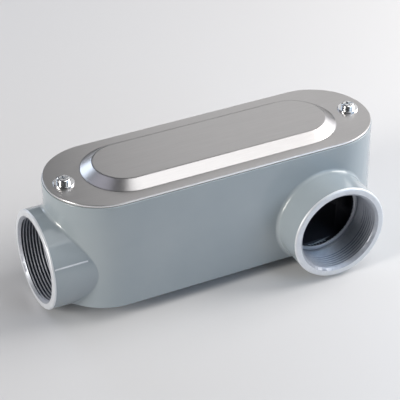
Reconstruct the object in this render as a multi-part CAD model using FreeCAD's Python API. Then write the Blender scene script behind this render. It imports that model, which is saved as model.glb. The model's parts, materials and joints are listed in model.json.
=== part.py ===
import FreeCAD, Part
import math
import os

# Side-outlet conduit body for 2 in. threaded conduit, in millimetres.
# Origin: centre of the end hub's mouth. +X runs along that hub into the body,
# the side hub points to -Y and the cover faces +Z.

# Body shell
BODY_LENGTH = 240.0
BODY_WIDTH = 79.0
BODY_HEIGHT = 79.6             # back to rim
WALL = 3.8
BACK_THICKNESS = 3.0
BACK_EDGE_RADIUS = 1.0
RIM_EDGE_RADIUS = 0.5
FLOOR_CORNER_RADIUS = 3.0

# Hubs: both are tapped alike, and as wide as the body lets them be
HUB_SHOULDER = 4.9             # the body is this much wider than a hub, on each side
HUB_WALL = 6.3                 # round the bore before tapping
HUB_DROP = 6.9                 # a hub hangs this far below the back
HUB_MOUTH_ROUNDING = 1.5
HUB_MOUTH_CHAMFER = 0.5
HUB_INNER_ROUNDING = 2.2
HUB_BLEND_RADIUS = 2.5
END_HUB_REACH = 10.9           # out of the rounded end
SIDE_HUB_REACH = 24.5          # out of the flat side
SIDE_HUB_INSET = 14.3          # its axis, inward of the centre of the far round end
STOP_STEP = 2.1                # the conduit stop's height, from the bore before tapping
STOP_THICKNESS = 2.5
STOP_ROUNDING = 1.0
THROAT_RUNOUT = 2.5            # the throat's cut past the stop, through the rounded end

# Gasket and cover
GASKET_THICKNESS = 0.6
GASKET_INSET = 0.9             # from the casting's outline
COVER_SHEET = 1.2
COVER_INSET = 0.6              # from the casting's outline
COVER_EDGE_RADIUS = 0.45
FIELD_SIDE_MARGIN = 9.4        # foot of the raised field to the casting's outline, at the sides
FIELD_END_MARGIN = 26.8        # the same at the ends, where the screws are
FIELD_SLOPE_RUN = 7.8
FIELD_RISE = 5.2
FIELD_TOP_BEND = 2.2
FIELD_FOOT_BEND = 1.6

# Cover screws, 10-24 pan heads with a slot and cross recess, and their washers
SCREW_SETBACK = 12.9           # from the ends of the body
SCREW_RADIUS = 2.41
SCREW_LENGTH = 12.7
SCREW_POINT_CHAMFER = 0.6
HEAD_RADIUS = 4.7
HEAD_HEIGHT = 3.1
HEAD_ROUNDING = 1.5
SLOT_WIDTH = 1.3
SLOT_DEPTH = 1.3
CROSS_SPAN = 5.0
CROSS_WIDTH = 1.2
CROSS_DEPTH = 2.0
WASHER_RADIUS = 7.2
WASHER_THICKNESS = 1.1
WASHER_ROUNDING = 0.4
TAPPED_CLEARANCE = 0.05        # round the screw's thread
CLEARANCE_HOLE_GAP = 0.4       # round the screw in cover, washer and gasket
BOSS_WALL = 3.7                # round the tapped hole
TAPPED_EXTRA = 3.0             # the hole is this much deeper than the screw

# Worked out from the sizes above
X = FreeCAD.Vector(1, 0, 0)
Y = FreeCAD.Vector(0, 1, 0)
Z = FreeCAD.Vector(0, 0, 1)
END_RADIUS = BODY_WIDTH / 2
BODY_STRAIGHT = BODY_LENGTH - BODY_WIDTH
FAR_END_X = END_HUB_REACH + BODY_LENGTH
MIDDLE_X = END_HUB_REACH + BODY_LENGTH / 2
HUB_OUTER_RADIUS = END_RADIUS - HUB_SHOULDER
THREAD_CREST_RADIUS = HUB_OUTER_RADIUS - HUB_WALL
THROAT_RADIUS = THREAD_CREST_RADIUS - STOP_STEP     # the conduit's own bore
BACK_Z = HUB_DROP - HUB_OUTER_RADIUS
FLOOR_Z = BACK_Z + BACK_THICKNESS
RIM_Z = BACK_Z + BODY_HEIGHT
GASKET_TOP_Z = RIM_Z + GASKET_THICKNESS
COVER_TOP_Z = GASKET_TOP_Z + COVER_SHEET
END_MOUTH = FreeCAD.Vector(0, 0, 0)
SIDE_HUB_X = FAR_END_X - END_RADIUS - SIDE_HUB_INSET
SIDE_MOUTH = FreeCAD.Vector(SIDE_HUB_X, -END_RADIUS - SIDE_HUB_REACH, 0)
HUB_LENGTH = SIDE_HUB_REACH + WALL                  # mouth to the inner face of the stop
THREAD_DEPTH = HUB_LENGTH - STOP_THICKNESS
FIELD_FOOT_RADIUS = END_RADIUS - FIELD_SIDE_MARGIN
FIELD_TOP_RADIUS = FIELD_FOOT_RADIUS - FIELD_SLOPE_RUN
FIELD_STRAIGHT = BODY_LENGTH - 2 * (FIELD_END_MARGIN + FIELD_FOOT_RADIUS)
BOSS_RADIUS = SCREW_RADIUS + BOSS_WALL
SCREW_XS = [END_HUB_REACH + SCREW_SETBACK, FAR_END_X - SCREW_SETBACK]
HEAD_SEAT_Z = COVER_TOP_Z + WASHER_THICKNESS


def obround_face(straight, radius, z):
    """Flat face with straight sides along X and round ends, centred on the body."""
    half = straight / 2
    left = MIDDLE_X - half
    right = MIDDLE_X + half
    corners = [
        FreeCAD.Vector(left, -radius, z),
        FreeCAD.Vector(right, -radius, z),
        FreeCAD.Vector(right, radius, z),
        FreeCAD.Vector(left, radius, z),
    ]
    right_tip = FreeCAD.Vector(right + radius, 0, z)
    left_tip = FreeCAD.Vector(left - radius, 0, z)
    edges = [
        Part.LineSegment(corners[0], corners[1]).toShape(),
        Part.Arc(corners[1], right_tip, corners[2]).toShape(),
        Part.LineSegment(corners[2], corners[3]).toShape(),
        Part.Arc(corners[3], left_tip, corners[0]).toShape(),
    ]
    return Part.Face(Part.Wire(edges))


def obround(straight, radius, z, height):
    return obround_face(straight, radius, z).extrude(Z * height)


def edges_at_height(shape, z):
    """Edges that lie wholly in the level plane z."""
    return [
        edge for edge in shape.Edges
        if abs(edge.BoundBox.ZMin - z) < 1e-4 and abs(edge.BoundBox.ZMax - z) < 1e-4
    ]


def circle_edges(shape, centre, axis, radius):
    """Full circles of one radius about a point on an axis."""
    found = []
    for edge in shape.Edges:
        curve = edge.Curve
        if not isinstance(curve, Part.Circle) or abs(curve.Radius - radius) > 1e-4:
            continue
        if (curve.Center - centre).Length < 1e-3 and abs(abs(curve.Axis.dot(axis)) - 1) < 1e-6:
            found.append(edge)
    return found


def root_depth(reach, overhang):
    """How deep behind the mouth a hub's full round is buried in the rounded end."""
    return reach + END_RADIUS - math.sqrt(END_RADIUS ** 2 - overhang ** 2)


def hub_cylinder(mouth, inward, length):
    """A hub's round outside, from its mouth to its rounded inner end."""
    cylinder = Part.makeCylinder(HUB_OUTER_RADIUS, length, mouth, inward)
    inner_edge = circle_edges(cylinder, mouth + inward * length, inward, HUB_OUTER_RADIUS)
    return cylinder.makeFillet(HUB_INNER_ROUNDING, inner_edge)


def hub_outside(mouth, inward, root):
    cylinder = hub_cylinder(mouth, inward, root + HUB_INNER_ROUNDING)
    mouth_edge = circle_edges(cylinder, mouth, inward, HUB_OUTER_RADIUS)
    return cylinder.makeFillet(HUB_MOUTH_ROUNDING, mouth_edge)


def hub_bore(mouth, inward):
    """What is bored out of one hub: chamfer, tapping bore, conduit stop and rounded throat."""
    bend = STOP_ROUNDING * (1 - math.sqrt(0.5))
    wide = THROAT_RADIUS + STOP_ROUNDING

    def point(along, radius):
        return mouth + inward * along + Z * radius

    corners = [
        point(0, 0),
        point(0, THREAD_CREST_RADIUS + HUB_MOUTH_CHAMFER),
        point(HUB_MOUTH_CHAMFER, THREAD_CREST_RADIUS),
        point(THREAD_DEPTH, THREAD_CREST_RADIUS),
        point(THREAD_DEPTH, wide),
    ]
    stop = Part.Arc(
        corners[-1],
        point(THREAD_DEPTH + bend, THROAT_RADIUS + bend),
        point(THREAD_DEPTH + STOP_ROUNDING, THROAT_RADIUS),
    )
    flare = Part.Arc(
        point(HUB_LENGTH - STOP_ROUNDING, THROAT_RADIUS),
        point(HUB_LENGTH - bend, THROAT_RADIUS + bend),
        point(HUB_LENGTH, wide),
    )
    inner_end = [point(HUB_LENGTH, wide), point(HUB_LENGTH + THROAT_RUNOUT, wide)]
    inner_end.append(point(HUB_LENGTH + THROAT_RUNOUT, 0))
    edges = [stop.toShape(), flare.toShape()]
    edges.append(Part.LineSegment(stop.EndPoint, flare.StartPoint).toShape())
    for line in (corners, inner_end + [corners[0]]):
        edges += [Part.LineSegment(*pair).toShape() for pair in zip(line, line[1:])]
    profile = Part.Wire(Part.sortEdges(edges)[0])
    return Part.Face(profile).revolve(mouth, inward, 360)


def screw_lugs(low_z, high_z):
    """Round lugs for the tapped holes, each grown out of the body's end wall."""
    lugs = []
    for x, end in zip(SCREW_XS, (END_HUB_REACH, FAR_END_X)):
        wall = end + math.copysign(WALL / 2, x - end)
        column = Part.makeCylinder(BOSS_RADIUS, high_z - low_z, FreeCAD.Vector(x, 0, low_z), Z)
        corner = FreeCAD.Vector(min(x, wall), -BOSS_RADIUS, low_z)
        web = Part.makeBox(abs(x - wall), 2 * BOSS_RADIUS, high_z - low_z, corner)
        lugs.append(column.fuse(web).removeSplitter())
    return lugs


def is_hub_face(face):
    surface = face.Surface
    return (
        isinstance(surface, Part.Cylinder)
        and abs(surface.Radius - HUB_OUTER_RADIUS) < 1e-6
        and abs(surface.Axis.z) < 1e-6
    )


def is_body_face(face):
    """Walls and back of the shell, which are upright or level."""
    surface = face.Surface
    if isinstance(surface, Part.Cylinder):
        return abs(abs(surface.Axis.z) - 1) < 1e-6
    if isinstance(surface, Part.Plane):
        return abs(abs(surface.Axis.y) - 1) < 1e-6 or abs(face.BoundBox.ZMax - BACK_Z) < 1e-4
    return False


def edges_between(shape, is_one, is_other):
    """Edges where a face of one kind meets a face of the other."""
    found = []
    for edge in shape.Edges:
        owners = [face for face in shape.Faces if any(edge.isSame(e) for e in face.Edges)]
        if len(owners) == 2:
            first, second = owners
            if (is_one(first) and is_other(second)) or (is_one(second) and is_other(first)):
                found.append(edge)
    return found


def outer_form():
    """The solid outside of the casting: obround box and both hubs, blended together."""
    shell = obround(BODY_STRAIGHT, END_RADIUS, BACK_Z, BODY_HEIGHT)
    end_root = root_depth(END_HUB_REACH, HUB_OUTER_RADIUS)
    overhang = max(0.0, HUB_OUTER_RADIUS - SIDE_HUB_INSET)
    side_root = root_depth(SIDE_HUB_REACH, overhang)
    hubs = [hub_outside(END_MOUTH, X, end_root), hub_outside(SIDE_MOUTH, Y, side_root)]
    outside = shell.fuse(hubs).removeSplitter()
    outside = outside.makeFillet(HUB_BLEND_RADIUS, edges_between(outside, is_hub_face, is_body_face))
    back_edges = [e for e in edges_at_height(outside, BACK_Z) if e.BoundBox.DiagonalLength > 20]
    outside = outside.makeFillet(BACK_EDGE_RADIUS, back_edges)
    return outside.makeFillet(RIM_EDGE_RADIUS, edges_at_height(outside, RIM_Z))


def body_casting():
    hubs_inside = [hub_cylinder(END_MOUTH, X, HUB_LENGTH), hub_cylinder(SIDE_MOUTH, Y, HUB_LENGTH)]
    chamber = obround(BODY_STRAIGHT, END_RADIUS - WALL, FLOOR_Z, BODY_HEIGHT)
    chamber = chamber.makeFillet(FLOOR_CORNER_RADIUS, edges_at_height(chamber, FLOOR_Z))
    chamber = chamber.cut(hubs_inside + screw_lugs(FLOOR_Z, RIM_Z))

    casting = outer_form().cut(chamber)
    casting = casting.cut([hub_bore(END_MOUTH, X), hub_bore(SIDE_MOUTH, Y)])
    depth = SCREW_LENGTH + TAPPED_EXTRA
    holes = [
        Part.makeCylinder(
            SCREW_RADIUS + TAPPED_CLEARANCE, depth, FreeCAD.Vector(x, 0, RIM_Z - depth), Z
        )
        for x in SCREW_XS
    ]
    return casting.cut(holes)


def screw_holes(radius, low_z, high_z):
    return [
        Part.makeCylinder(radius, high_z - low_z, FreeCAD.Vector(x, 0, low_z), Z)
        for x in SCREW_XS
    ]


def cover_gasket():
    """Flat ring on the rim, widened over the screw lugs."""
    inner = obround(BODY_STRAIGHT, END_RADIUS - WALL, RIM_Z, GASKET_THICKNESS)
    ring = obround(BODY_STRAIGHT, END_RADIUS - GASKET_INSET, RIM_Z, GASKET_THICKNESS)
    ring = ring.cut(inner.cut(screw_lugs(RIM_Z, GASKET_TOP_Z)))
    return ring.cut(screw_holes(SCREW_RADIUS + CLEARANCE_HOLE_GAP, RIM_Z, GASKET_TOP_Z))


def raised_field(foot_radius, top_radius, z, rise):
    """Flat-topped obround hill with evenly sloping sides."""
    foot = obround_face(FIELD_STRAIGHT, foot_radius, z).OuterWire
    top = obround_face(FIELD_STRAIGHT, top_radius, z + rise).OuterWire
    return Part.makeLoft([foot, top], True, True)


def is_within_field(edge):
    """Does the edge belong to the raised field rather than to the cover's own outline?"""
    box = edge.BoundBox
    reach = FIELD_FOOT_RADIUS + 0.1
    return -reach < box.YMin and box.YMax < reach and box.XMax < MIDDLE_X + FIELD_STRAIGHT / 2 + reach


def cover():
    """One stamped sheet: a flat plate with a raised field that is hollow underneath."""
    slope = math.atan2(FIELD_RISE, FIELD_FOOT_RADIUS - FIELD_TOP_RADIUS)
    shrink = COVER_SHEET * math.tan(slope / 2)

    plate = obround(BODY_STRAIGHT, END_RADIUS - COVER_INSET, GASKET_TOP_Z, COVER_SHEET)
    outside = plate.fuse(raised_field(FIELD_FOOT_RADIUS, FIELD_TOP_RADIUS, COVER_TOP_Z, FIELD_RISE))
    outside = outside.removeSplitter()
    top_z = COVER_TOP_Z + FIELD_RISE
    outside = outside.makeFillet(FIELD_TOP_BEND, edges_at_height(outside, top_z))
    foot = [e for e in edges_at_height(outside, COVER_TOP_Z) if is_within_field(e)]
    outside = outside.makeFillet(FIELD_FOOT_BEND, foot)
    rim = [e for e in edges_at_height(outside, COVER_TOP_Z) if not is_within_field(e)]
    outside = outside.makeFillet(COVER_EDGE_RADIUS, rim)

    hollow_foot = FIELD_FOOT_RADIUS - shrink
    hollow_top = FIELD_TOP_RADIUS - shrink
    below = GASKET_TOP_Z - COVER_SHEET
    plug = obround(BODY_STRAIGHT, END_RADIUS, below, COVER_SHEET)
    plug = plug.fuse(raised_field(hollow_foot, hollow_top, GASKET_TOP_Z, FIELD_RISE))
    plug = plug.removeSplitter()
    plug = plug.makeFillet(FIELD_TOP_BEND - COVER_SHEET, edges_at_height(plug, top_z - COVER_SHEET))
    foot = [e for e in edges_at_height(plug, GASKET_TOP_Z) if is_within_field(e)]
    plug = plug.makeFillet(FIELD_FOOT_BEND + COVER_SHEET, foot)
    sheet = outside.cut(plug)
    return sheet.cut(screw_holes(SCREW_RADIUS + CLEARANCE_HOLE_GAP, GASKET_TOP_Z, COVER_TOP_Z))


def cover_screw(x):
    """Pan-head screw with a slot crossed by a shorter recess."""
    shank = Part.makeCylinder(
        SCREW_RADIUS, SCREW_LENGTH, FreeCAD.Vector(x, 0, HEAD_SEAT_Z - SCREW_LENGTH), Z
    )
    shank = shank.makeChamfer(SCREW_POINT_CHAMFER, edges_at_height(shank, HEAD_SEAT_Z - SCREW_LENGTH))
    head = Part.makeCylinder(HEAD_RADIUS, HEAD_HEIGHT, FreeCAD.Vector(x, 0, HEAD_SEAT_Z), Z)
    head = head.makeFillet(HEAD_ROUNDING, edges_at_height(head, HEAD_SEAT_Z + HEAD_HEIGHT))
    top = HEAD_SEAT_Z + HEAD_HEIGHT
    slot = Part.makeBox(
        2 * HEAD_RADIUS, SLOT_WIDTH, SLOT_DEPTH,
        FreeCAD.Vector(x - HEAD_RADIUS, -SLOT_WIDTH / 2, top - SLOT_DEPTH),
    )
    cross = Part.makeBox(
        CROSS_WIDTH, CROSS_SPAN, CROSS_DEPTH,
        FreeCAD.Vector(x - CROSS_WIDTH / 2, -CROSS_SPAN / 2, top - CROSS_DEPTH),
    )
    return shank.fuse(head).removeSplitter().cut([slot, cross])


def screw_washer(x):
    seat = FreeCAD.Vector(x, 0, COVER_TOP_Z)
    disc = Part.makeCylinder(WASHER_RADIUS, WASHER_THICKNESS, seat, Z)
    disc = disc.makeFillet(WASHER_ROUNDING, edges_at_height(disc, HEAD_SEAT_Z))
    hole = Part.makeCylinder(SCREW_RADIUS + CLEARANCE_HOLE_GAP, WASHER_THICKNESS, seat, Z)
    return disc.cut(hole)


def main():
    os.makedirs("parts", exist_ok=True)
    nodes = {
        "body_casting": body_casting(),
        "cover_gasket": cover_gasket(),
        "cover": cover(),
        "screw_washers": Part.makeCompound([screw_washer(x) for x in SCREW_XS]),
        "cover_screws": Part.makeCompound([cover_screw(x) for x in SCREW_XS]),
    }
    for name, shape in nodes.items():
        print(name, shape.isValid(), len(shape.Solids), "solid(s),", round(shape.Volume / 1000, 3), "cm3")
        shape.exportStep(f"parts/{name}.step")


main()
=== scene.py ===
import json
import math

import bmesh
import bpy
from mathutils import Matrix, Vector


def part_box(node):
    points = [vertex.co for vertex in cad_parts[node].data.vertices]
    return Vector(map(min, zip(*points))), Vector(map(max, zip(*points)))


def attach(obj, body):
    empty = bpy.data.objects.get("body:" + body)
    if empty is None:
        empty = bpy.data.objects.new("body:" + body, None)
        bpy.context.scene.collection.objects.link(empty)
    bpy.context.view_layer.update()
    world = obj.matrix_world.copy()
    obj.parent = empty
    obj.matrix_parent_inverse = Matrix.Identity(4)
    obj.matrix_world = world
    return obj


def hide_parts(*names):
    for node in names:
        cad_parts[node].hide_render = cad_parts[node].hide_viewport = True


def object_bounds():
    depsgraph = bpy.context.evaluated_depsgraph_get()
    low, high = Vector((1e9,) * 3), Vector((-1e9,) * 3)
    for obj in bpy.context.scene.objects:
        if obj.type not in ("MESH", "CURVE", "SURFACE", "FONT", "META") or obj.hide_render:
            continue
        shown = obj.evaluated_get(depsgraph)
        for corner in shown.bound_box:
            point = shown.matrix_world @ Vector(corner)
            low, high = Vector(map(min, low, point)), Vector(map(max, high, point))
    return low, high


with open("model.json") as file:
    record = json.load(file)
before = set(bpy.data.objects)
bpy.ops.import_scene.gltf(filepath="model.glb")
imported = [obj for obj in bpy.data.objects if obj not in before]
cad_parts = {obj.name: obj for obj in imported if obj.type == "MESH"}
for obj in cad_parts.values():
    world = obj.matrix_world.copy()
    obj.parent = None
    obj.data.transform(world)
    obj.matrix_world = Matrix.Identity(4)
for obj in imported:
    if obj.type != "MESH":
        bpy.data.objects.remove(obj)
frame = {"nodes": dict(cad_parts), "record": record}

# Lengths are in metres: X runs from the end hub into the body, -Y out of the side hub, Z out through the cover.
cad_box = [list(corner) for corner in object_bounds()]

THREAD_PITCH = 0.0254 / 11.5
THREAD_ROOT_AT_MOUTH = 0.03004
THREAD_TAPER = 1 / 32              # off the radius, along the axis
THREAD_STEPS = 120                 # facets in one turn
THREAD_PROFILE = ((0.0, 0), (0.14, 0), (0.34, 0.5),   # share of a pitch, of the depth
                  (0.54, 1), (0.60, 1), (0.80, 0.5))
THREAD_STARTS = (0.0012, 0.0026)   # the grooves deepen between these depths behind the mouth
THREAD_ENDS = (0.0232, 0.0250)     # and run out between these
ROOT_DEPTH = 0.0009                # the grooves are coloured darker, as painted shade, from this far outside the bore
CREST_CLEARANCE = 0.00003          # the tap's core is this much wider than the bore
TAP_REACH = (-0.001, 0.02578)      # from just outside the mouth to just short of the conduit stop
COUNTERSINK = 0.0019               # how far the mouth's edge is cut back, in depth and in radius
CUTTER_OVERLAP = 0.001             # how far the countersink's cutter stands out of the mouth

RIM_ROUNDING = 0.0015              # of the hubs' outer edge
STOP_AT = 0.0258                   # depth of the conduit stop behind the mouth
STOP_ROUNDING = 0.0012             # of the stop's inner edge
STOP_REACH = 0.004                 # how far the stop's own bore reaches behind its step
BACK_OUTSIDE = -0.0277             # level of the body's back
BACK_INSIDE = -0.0247              # and of the chamber's floor
INSIDE_WALL = 0.002                # what lies this far inside the flanks belongs to the chamber
SLACK = 0.0001                     # for points that should lie on a face

SEAM_HEIGHT = 0.0117               # of the parting line, above the hubs' axes
SEAM_WIDTH = 0.0012
SEAM_RISE = 0.0003
SEAM_SUNK = 0.00004                # its edges lie this deep in the enamel
SEAM_SWELL = ((0.0018, 0.0), (0.0030, 0.8), (0.0080, 1.0), (0.0225, 0.8), (0.0252, 0.5))   # height along it

SAME_POINT = 2e-6                  # vertices of the casting closer than this are one
TAP_SAME_POINT = 1e-6
CORNER_DEGREES = 32                # edges of the casting that bend more stay sharp


# ---------------------------------------------------------------- finishes

class Value:
    """One socket of a shader. Arithmetic on it adds Math nodes."""

    def __init__(self, finish, socket):
        self.finish, self.socket = finish, socket

    def __add__(self, other):
        return self.finish.sum("ADD", self, other)

    def __radd__(self, other):
        return self.finish.sum("ADD", other, self)

    def __mul__(self, other):
        return self.finish.sum("MULTIPLY", self, other)

    def __rmul__(self, other):
        return self.finish.sum("MULTIPLY", other, self)


class Finish:
    """A material under construction."""

    def __init__(self, name):
        self.material = bpy.data.materials.new(name)
        self.material.use_nodes = True
        self.tree = self.material.node_tree
        self.tree.nodes.clear()

    def node(self, kind, settings, inputs, output=0):
        """Adds a node: its settings first, then the values or links of its sockets."""
        node = self.tree.nodes.new(kind)
        for name, setting in settings.items():
            setattr(node, name, setting)
        for name, value in inputs.items():
            if isinstance(value, Value):
                self.tree.links.new(value.socket, node.inputs[name])
            else:
                node.inputs[name].default_value = value
        return Value(self, node.outputs[output]) if node.outputs else None

    def sum(self, operation, first, second):
        return self.node("ShaderNodeMath", {"operation": operation}, {0: first, 1: second})

    def place(self, stretch):
        """Where the surface point lies on the object, stretched along the axes."""
        coordinates = self.node("ShaderNodeTexCoord", {}, {}, "Object")
        return self.node("ShaderNodeMapping", {}, {"Vector": coordinates, "Scale": stretch})

    def noise(self, scale, detail=2.0, roughness=0.5, stretch=(1, 1, 1)):
        return self.node("ShaderNodeTexNoise", {}, {
            "Vector": self.place(stretch), "Scale": scale, "Detail": detail, "Roughness": roughness,
        })

    def facing_up(self):
        """How squarely the surface faces up: 1 where level, 0 where upright."""
        normal = self.node("ShaderNodeNewGeometry", {}, {}, "Normal")
        return self.node("ShaderNodeSeparateXYZ", {}, {"Vector": normal}, "Z")

    def between(self, mask, low, high):
        """Turns the mask's range low to high into 0 to 1, held at the ends."""
        return self.node("ShaderNodeMapRange", {"clamp": True}, {
            "Value": mask, "From Min": low, "From Max": high, "To Min": 0.0, "To Max": 1.0,
        })

    def blend(self, mask, first, second):
        """A colour that goes from the first to the second as the mask goes from 0 to 1."""
        return self.node("ShaderNodeMix", {"data_type": "RGBA"}, {
            "Factor": mask, "A": first, "B": second,
        }, 2)

    def bump(self, height, depth):
        return self.node("ShaderNodeBump", {}, {"Height": height, "Distance": depth, "Strength": 1.0})

    def surface(self, **sockets):
        """Ends the material in one Principled shader."""
        named = {name.replace("_", " "): value for name, value in sockets.items()}
        shader = self.node("ShaderNodeBsdfPrincipled", {}, named)
        self.node("ShaderNodeOutputMaterial", {}, {"Surface": shader})
        return self.material


def colour(red, green, blue):
    """A colour written in display levels of 0 to 255, as the linear one that shaders take."""
    levels = []
    for level in (red, green, blue):
        level /= 255
        levels.append(level / 12.92 if level <= 0.04045 else ((level + 0.055) / 1.055) ** 2.4)
    return (*levels, 1.0)


def painted_casting():
    """Blue-grey enamel on a die casting, with a slight peel and slow shifts of tone."""
    finish = Finish("blue_grey_enamel")
    tone = finish.noise(18.0, 3.0)
    peel = finish.noise(420.0, 2.0)
    shift = finish.between(tone, 0.3, 0.7)
    return finish.surface(
        Base_Color=finish.blend(shift, colour(150, 161, 168), colour(159, 168, 174)),
        Roughness=0.20 + 0.10 * tone,
        IOR=1.5,
        Coat_Weight=0.5,
        Coat_Roughness=0.06,
        Normal=finish.bump(peel, 0.000025),
    )


def faced_rim():
    """The hub mouths' turned faces: pale satin aluminium with faint tool rings."""
    finish = Finish("turned_aluminium")
    tone = finish.noise(160.0, 3.0)
    return finish.surface(
        Base_Color=finish.blend(tone, colour(205, 209, 216), colour(226, 229, 234)),
        Metallic=0.35,
        Roughness=0.34 + 0.12 * tone,
        Normal=finish.bump(tone, 0.00003),
    )


def tapped_metal():
    """Bare aluminium where the taps have cut, with fine tool lines."""
    finish = Finish("tapped_aluminium")
    tone = finish.noise(300.0, 3.0)
    return finish.surface(
        Base_Color=finish.blend(tone, colour(146, 151, 162), colour(180, 184, 193)),
        Metallic=0.45,
        Roughness=0.34 + 0.14 * tone,
    )


def thread_root_painted_shade():
    """The thread's root, coloured darker as painted shade in the grooves."""
    finish = Finish("root_painted_shade")
    tone = finish.noise(300.0, 3.0)
    return finish.surface(
        Base_Color=finish.blend(tone, colour(96, 102, 116), colour(126, 131, 142)),
        Metallic=0.5,
        Roughness=0.45 + 0.14 * tone,
    )


def chamber_painted_shade():
    """Painted shade: the casting's inside coloured a dull, dark blue-grey for the shade in the closed chamber.
    """
    finish = Finish("dark_chamber_painted_shade")
    tone = finish.noise(60.0, 4.0)
    return finish.surface(
        Base_Color=finish.blend(tone, colour(40, 43, 54), colour(58, 62, 74)),
        Roughness=0.62 + 0.2 * tone,
        Normal=finish.bump(tone, 0.0002),
    )


def cover_steel():
    """Rolled steel sheet with fine grain along its length; its upright edges are coloured near-white as a
    painted highlight.
    """
    finish = Finish("rolled_steel")
    grain = finish.noise(1.0, 4.0, 0.6, (70, 2200, 2200))
    streak = finish.noise(1.0, 2.0, 0.5, (10, 200, 200))
    cloud = finish.noise(24.0, 3.0)
    tone = finish.between(0.5 * grain + 0.15 * streak + 0.35 * cloud, 0.3, 0.7)
    sheet = finish.blend(tone, colour(187, 185, 185), colour(203, 201, 201))
    # Painted highlight: faces that stand upright, the sheet's cut edges, are coloured near-white.
    edge_highlight_mask = finish.between(finish.facing_up(), 0.7, 0.4)
    return finish.surface(
        Base_Color=finish.blend(edge_highlight_mask, sheet, colour(238, 238, 240)),
        Metallic=1.0,
        Roughness=0.24 + 0.08 * grain + 0.08 * cloud,
        Normal=finish.bump(grain, 0.000006),
    )


def bright_zinc():
    """Zinc plate on the screws and washers."""
    finish = Finish("bright_zinc")
    cloud = finish.noise(420.0, 3.0)
    return finish.surface(
        Base_Color=finish.blend(cloud, colour(212, 214, 220), colour(238, 238, 236)),
        Metallic=1.0,
        Roughness=0.12 + 0.14 * cloud,
    )


def gasket_fibre():
    """Pressed grey fibre of the cover's gasket."""
    finish = Finish("gasket_fibre")
    fleck = finish.noise(900.0, 3.0, 0.7)
    return finish.surface(
        Base_Color=finish.blend(fleck, colour(120, 120, 118), colour(165, 163, 158)),
        Roughness=0.72 + 0.15 * fleck,
        Normal=finish.bump(fleck, 0.00005),
    )


# ---------------------------------------------------------------- pieces

def add_piece(name, mesh, materials):
    """Puts a piece into the scene, made of the mesh that was built for it."""
    data = bpy.data.meshes.new(name)
    mesh.to_mesh(data)
    mesh.free()
    piece = bpy.data.objects.new(name, data)
    bpy.context.scene.collection.objects.link(piece)
    for material in materials:
        data.materials.append(material)
    return piece


def hub_frames():
    """Mouth, direction into the hub, two directions across it and bore radius, for each hub."""
    frames = []
    for mount in frame["record"]["mounts"]:
        inward = -Vector(mount["axis"])
        across = Vector((0, 0, 1)).cross(inward)
        frames.append((Vector(mount["pos_m"]), inward, across, inward.cross(across),
                       mount["dims"]["r_mm"] / 1000))
    return frames


def ease(value, low, high):
    """Rises smoothly from 0 at low to 1 at high."""
    share = min(1.0, max(0.0, (value - low) / (high - low)))
    return share * share * (3 - 2 * share)


def thread_tap(mouth, inward, across, upward, bore):
    """What a tap takes out of one hub: a core just over the bore, with one helical ridge."""
    crest = bore + CREST_CLEARANCE
    first, last = TAP_REACH
    turns = math.ceil((last - first) / THREAD_PITCH) + 2
    mesh = bmesh.new()

    def corner(step, share, in_groove):
        along = first + THREAD_PITCH * (step / THREAD_STEPS - 1 + share)
        depth = THREAD_ROOT_AT_MOUTH - along * THREAD_TAPER - crest
        depth *= ease(along, *THREAD_STARTS) * (1 - ease(along, *THREAD_ENDS)) * in_groove
        turn = 2 * math.pi * step / THREAD_STEPS
        out = across * math.cos(turn) + upward * math.sin(turn)
        held = min(last, max(first, along))
        return mesh.verts.new(mouth + inward * held + out * (crest + depth))

    lines = [[corner(step, *point) for point in THREAD_PROFILE] for step in range(turns * THREAD_STEPS + 1)]
    for step, (line, following) in enumerate(zip(lines, lines[1:])):
        for index in range(len(THREAD_PROFILE) - 1):
            mesh.faces.new((line[index], line[index + 1], following[index + 1], following[index]))
        if step + THREAD_STEPS + 1 < len(lines):
            mesh.faces.new((line[-1], lines[step + THREAD_STEPS][0],
                            lines[step + THREAD_STEPS + 1][0], following[-1]))
    bmesh.ops.remove_doubles(mesh, verts=mesh.verts, dist=TAP_SAME_POINT)
    bmesh.ops.delete(mesh, geom=[v for v in mesh.verts if not v.link_faces], context="VERTS")
    bmesh.ops.holes_fill(mesh, edges=mesh.edges, sides=0)
    bmesh.ops.recalc_face_normals(mesh, faces=mesh.faces)
    return add_piece("thread_tap", mesh, [])


def countersink(mouth, inward, across, upward, bore):
    """What the countersink takes off one hub's mouth: a blunt cone."""
    mesh = bmesh.new()
    rings = []
    for along, radius in ((-CUTTER_OVERLAP, bore + COUNTERSINK + CUTTER_OVERLAP), (COUNTERSINK, bore)):
        turns = [2 * math.pi * step / (2 * THREAD_STEPS) for step in range(2 * THREAD_STEPS)]
        rings.append([mesh.verts.new(mouth + inward * along
                                     + (across * math.cos(turn) + upward * math.sin(turn)) * radius)
                      for turn in turns])
    wide, narrow = rings
    mesh.faces.new(wide)
    mesh.faces.new(narrow)
    for index in range(len(wide)):
        mesh.faces.new((wide[index - 1], wide[index], narrow[index], narrow[index - 1]))
    bmesh.ops.recalc_face_normals(mesh, faces=mesh.faces)
    return add_piece("countersink", mesh, [])


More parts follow.
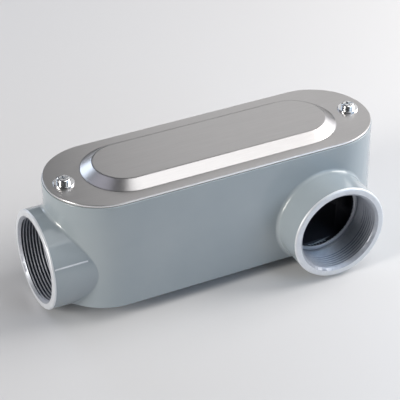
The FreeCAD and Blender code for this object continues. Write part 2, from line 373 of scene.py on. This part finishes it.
def casting_zones(mesh, hubs):
    """The finish of each face of the casting: 0 enamel, 1 rim, 2 thread, 3 thread's root (painted shade), 4
    chamber (painted shade).
    """
    near_end, far_end = body_middle()
    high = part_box("body_casting")[1]

    def zone(point):
        for mouth, inward, _, _, bore in hubs:
            along = (point - mouth).dot(inward)
            radius = (point - mouth - inward * along).length
            if along < SLACK or (along < RIM_ROUNDING and radius > bore + COUNTERSINK):
                return 1
            if STOP_AT - SLACK < along < STOP_AT + STOP_ROUNDING and radius < bore - 2 * SLACK:
                return 1
            if along < STOP_AT and radius < THREAD_ROOT_AT_MOUTH + SLACK:
                return 3 if radius > bore + ROOT_DEPTH and along > COUNTERSINK else 2
            if along < STOP_AT + STOP_REACH and radius < bore:
                return 4
        off_middle = math.hypot(point.x - min(far_end, max(near_end, point.x)), point.y)
        within_height = (BACK_OUTSIDE + BACK_INSIDE) / 2 < point.z < high.z - SLACK
        return 4 if within_height and off_middle < high.y - INSIDE_WALL else 0

    return [zone(face.center) for face in mesh.polygons]


def threaded_casting(finishes):
    """The casting with its hub mouths countersunk and its threads cut."""
    hubs = hub_frames()
    blank = bmesh.new()
    blank.from_mesh(frame["nodes"]["body_casting"].data)
    bmesh.ops.remove_doubles(blank, verts=blank.verts, dist=SAME_POINT)
    casting = add_piece("threaded_casting", blank, [])
    tools = [tool(*hub) for hub in hubs for tool in (countersink, thread_tap)]
    for tool in tools:
        cut = casting.modifiers.new("cut", "BOOLEAN")
        cut.operation, cut.solver, cut.object = "DIFFERENCE", "MANIFOLD", tool
    cut_mesh = bpy.data.meshes.new_from_object(casting.evaluated_get(bpy.context.evaluated_depsgraph_get()))
    casting.modifiers.clear()
    casting.data = cut_mesh
    cut_mesh.name = "threaded_casting"
    for tool in tools:
        bpy.data.objects.remove(tool)
    cut_mesh.materials.clear()
    for material in finishes:
        cut_mesh.materials.append(material)
    for face, zone in zip(cut_mesh.polygons, casting_zones(cut_mesh, hubs)):
        face.material_index = zone
    smooth_by_angle(casting, CORNER_DEGREES)
    return casting


def smooth_by_angle(piece, degrees):
    """Rounded faces shade smoothly and true corners stay sharp."""
    piece.data.shade_smooth()
    piece.data.set_sharp_from_angle(angle=math.radians(degrees))
    weighted = piece.modifiers.new("even_shading", "WEIGHTED_NORMAL")
    weighted.keep_sharp = True


def parting_seams(trimmed):
    """Low trimmed ridges that the mould's parting line leaves along both sides of the end hub."""
    mesh = bmesh.new()
    mouth, inward, across, upward, _ = hub_frames()[0]
    outer = hub_outer_radius()
    tilt = math.asin(SEAM_HEIGHT / outer)
    for side in (1, -1):
        rows = []
        for along, swell in SEAM_SWELL:
            row = []
            for share in (-1, -0.6, -0.2, 0.2, 0.6, 1):
                turn = tilt + share * SEAM_WIDTH / 2 / outer
                lift = swell * SEAM_RISE * (1 - share ** 2) - SEAM_SUNK
                sideways = across * (side * math.cos(turn)) + upward * math.sin(turn)
                row.append(mesh.verts.new(mouth + inward * along + sideways * (outer + lift)))
            rows.append(row)
        for row, following in zip(rows, rows[1:]):
            for index in range(len(row) - 1):
                mesh.faces.new((row[index], row[index + 1], following[index + 1], following[index]))
    bmesh.ops.recalc_face_normals(mesh, faces=mesh.faces)
    seams = add_piece("parting_seams", mesh, [trimmed])
    seams.data.shade_smooth()
    return seams


def hub_outer_radius():
    """The hubs hang lowest, so their radius is the casting's depth below their axes."""
    return -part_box("body_casting")[0].z


def body_middle():
    """Where the centres of the body's two round ends lie along it."""
    low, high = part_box("cover")
    return low.x + high.y, high.x - high.y


# ---------------------------------------------------------------- studio

def resting_plane():
    """A point and the upward normal of the level surface that the part comes to rest on."""
    hull = bmesh.new()
    for vertex in frame["nodes"]["body_casting"].data.vertices:
        hull.verts.new(vertex.co)
    bmesh.ops.convex_hull(hull, input=hull.verts)
    centre = (Vector(cad_box[0]) + Vector(cad_box[1])) / 2
    planes = []
    for face in hull.faces:
        face.normal_update()
        to_face = face.verts[0].co - centre
        outward = face.normal * math.copysign(1, face.normal.dot(to_face))
        if outward.z < -0.9:
            planes.append((to_face.dot(outward), centre + to_face, -outward))
    hull.free()
    _, point, normal = min(planes, key=lambda plane: plane[0])
    return point, normal


def look_along(location, target, roll=0.0):
    """A placement whose -Z points from the location at the target."""
    back = (location - target).normalized()
    right = Vector((0, 0, 1)).cross(back).normalized()
    up = back.cross(right)
    turned = Matrix((right, up, back)).transposed() @ Matrix.Rotation(roll, 3, "Z")
    return Matrix.Translation(location) @ turned.to_4x4()


def softbox(name, location, target, width, height, radiance, tint):
    """A flat soft lamp facing the target."""
    lamp = bpy.data.lights.new(name, "AREA")
    lamp.shape, lamp.size, lamp.size_y = "RECTANGLE", width, height
    lamp.energy = radiance * math.pi * width * height
    lamp.color = tint
    holder = bpy.data.objects.new(name, lamp)
    bpy.context.scene.collection.objects.link(holder)
    holder.matrix_world = look_along(Vector(location), Vector(target))


def floor(point, normal):
    """A wide sheet of pale paper under the part."""
    finish = Finish("pale_paper")
    paper = finish.surface(Base_Color=colour(208, 208, 210), Roughness=0.9, Specular_IOR_Level=0.1)
    mesh = bmesh.new()
    bmesh.ops.create_grid(mesh, x_segments=1, y_segments=1, size=4.0)
    sheet = add_piece("floor", mesh, [paper])
    sheet.matrix_world = Matrix.Translation(point) @ normal.to_track_quat("Z", "Y").to_matrix().to_4x4()


def camera():
    """A long lens, looking down on the end hub's and the side hub's flanks."""
    azimuth, elevation, roll = math.radians(-26.394), math.radians(33.39), math.radians(-0.177)
    back = Vector((
        math.sin(azimuth) * math.cos(elevation),
        -math.cos(azimuth) * math.cos(elevation),
        math.sin(elevation),
    ))
    target = Vector((0.1309, 0.0, 0.0119))
    turned = look_along(target + back, target, roll)
    right, up = turned.col[0].xyz, turned.col[1].xyz
    location = target - 0.007319 * right - 0.002577 * up + 1.145826 * back
    data = bpy.data.cameras.new("camera")
    data.sensor_width, data.lens = 36.0, 149.83
    data.clip_end = 20.0
    holder = bpy.data.objects.new("camera", data)
    bpy.context.scene.collection.objects.link(holder)
    holder.matrix_world = Matrix.Translation(location) @ turned.to_3x3().to_4x4()
    bpy.context.scene.camera = holder


def studio():
    """Camera, paper, soft lamps round the part and a little light from the room."""
    camera()
    floor(*resting_plane())
    centre = (0.13, 0.0, 0.01)
    softbox("overhead", (0.38, -0.20, 0.95), centre, 1.00, 0.50, 1.9, (1.0, 1.0, 1.0))
    softbox("front", (0.48, -0.96, 0.66), centre, 0.35, 1.15, 1.0, (0.92, 0.97, 1.0))
    softbox("left_side", (-1.76, -0.21, 0.60), centre, 0.40, 1.05, 23.0, (1.0, 0.96, 0.89))
    softbox("right_side", (0.99, -0.15, 0.51), centre, 0.60, 0.60, 9.0, (1.0, 0.97, 0.93))
    softbox("near_right", (0.40, -0.36, 0.16), centre, 0.24, 0.20, 2.4, (0.55, 0.75, 1.0))
    softbox("right_back", (0.96, 0.31, 0.40), centre, 0.40, 0.40, 1.8, (0.95, 0.96, 1.0))
    softbox("back_left", (-0.19, 0.92, 0.42), centre, 0.45, 0.45, 3.0, (0.75, 0.85, 1.0))
    softbox("top_left", (-0.42, 0.30, 0.85), centre, 0.60, 0.60, 0.6, (0.85, 0.85, 1.0))
    softbox("back", (0.80, 0.95, 0.70), centre, 0.80, 0.60, 0.87, (1.0, 0.995, 0.99))
    world = bpy.data.worlds.new("room")
    bpy.context.scene.world = world
    world.use_nodes = True
    air = world.node_tree.nodes["Background"]
    air.inputs["Color"].default_value = (0.90, 0.95, 1.0, 1.0)
    air.inputs["Strength"].default_value = 0.055
    bpy.context.scene.view_settings.view_transform = "Standard"


# ---------------------------------------------------------------- the conduit body

enamel, rim, steel = painted_casting(), faced_rim(), cover_steel()
zinc, fibre = bright_zinc(), gasket_fibre()
for node, material in (("cover", steel), ("cover_gasket", fibre), ("screw_washers", zinc),
                       ("cover_screws", zinc), ("body_casting", enamel)):
    data = frame["nodes"][node].data
    data.materials.clear()
    data.materials.append(material)

casting = threaded_casting((enamel, rim, tapped_metal(), thread_root_painted_shade(), chamber_painted_shade()))
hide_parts("body_casting")
seams = parting_seams(rim)
for piece in (casting, seams):
    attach(piece, "root")

studio()
